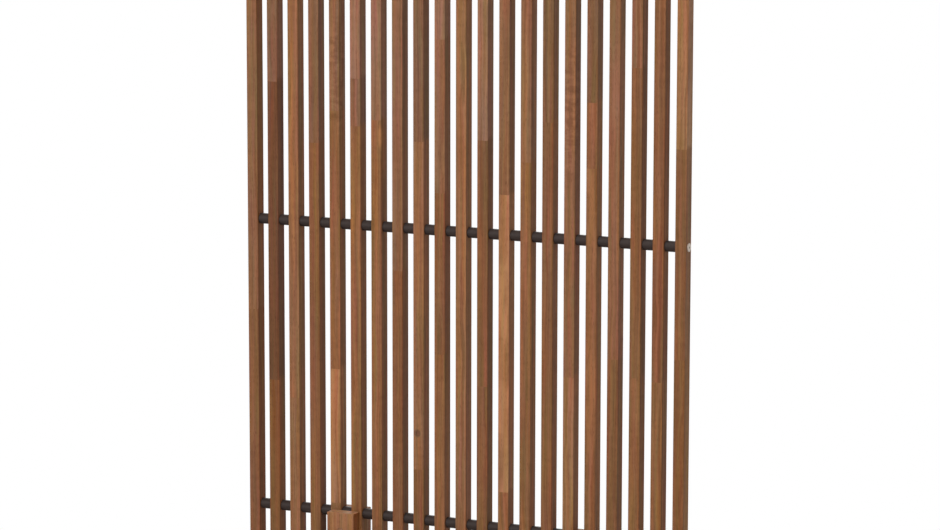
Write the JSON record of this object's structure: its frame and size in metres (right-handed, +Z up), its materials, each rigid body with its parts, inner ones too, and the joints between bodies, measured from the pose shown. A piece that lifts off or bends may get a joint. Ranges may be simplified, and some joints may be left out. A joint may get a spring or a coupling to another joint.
{
  "type": "garden privacy screen",
  "caption": "Free-standing garden screen of upright wooden slats strung on horizontal rods with black round spacers, held upright by two T-shaped feet.",
  "frame": {"origin": "on the ground, under the middle of the screen", "axes": "+X along the screen to the right as seen from the front, +Y to the back, +Z up"},
  "size_m": [1.008, 0.45, 1.8],
  "materials": {
    "slat_wood": "oiled",
    "foot_wood": "oiled",
    "dowel_wood": "unfinished",
    "spacer_plastic": "satin",
    "glide_plastic": "matte",
    "nut_steel": "satin",
    "hardware_steel": "zinc plated"
  },
  "bodies": {
    "root": {"bottom_rod": "hardware_steel", "bottom_spacers": "spacer_plastic", "left_barrel_nuts": "hardware_steel", "left_beam": "foot_wood", "left_beam_bolts": "hardware_steel", "left_beam_washers": "hardware_steel", "left_bolt_plugs": "foot_wood", "left_clamp_bolts": "hardware_steel", "left_clamp_nuts": "hardware_steel", "left_clamp_washers": "hardware_steel", "left_dowels": "dowel_wood", "left_front_glide": "glide_plastic", "left_front_post": "foot_wood", "left_glide_screws": "hardware_steel", "left_rear_glide": "glide_plastic", "left_rear_post": "foot_wood", "left_rod_nuts": "nut_steel", "middle_rod": "hardware_steel", "middle_spacers": "spacer_plastic", "right_barrel_nuts": "hardware_steel", "right_beam": "foot_wood", "right_beam_bolts": "hardware_steel", "right_beam_washers": "hardware_steel", "right_bolt_plugs": "foot_wood", "right_clamp_bolts": "hardware_steel", "right_clamp_nuts": "hardware_steel", "right_clamp_washers": "hardware_steel", "right_dowels": "dowel_wood", "right_front_glide": "glide_plastic", "right_front_post": "foot_wood", "right_glide_screws": "hardware_steel", "right_rear_glide": "glide_plastic", "right_rear_post": "foot_wood", "right_rod_nuts": "nut_steel", "slat_01": "slat_wood", "slat_02": "slat_wood", "slat_03": "slat_wood", "slat_04": "slat_wood", "slat_05": "slat_wood", "slat_06": "slat_wood", "slat_07": "slat_wood", "slat_08": "slat_wood", "slat_09": "slat_wood", "slat_10": "slat_wood", "slat_11": "slat_wood", "slat_12": "slat_wood", "slat_13": "slat_wood", "slat_14": "slat_wood", "slat_15": "slat_wood", "slat_16": "slat_wood", "slat_17": "slat_wood", "slat_18": "slat_wood", "slat_19": "slat_wood", "slat_20": "slat_wood", "slat_21": "slat_wood", "top_rod": "hardware_steel", "top_spacers": "spacer_plastic"}
  },
  "joints": []
}
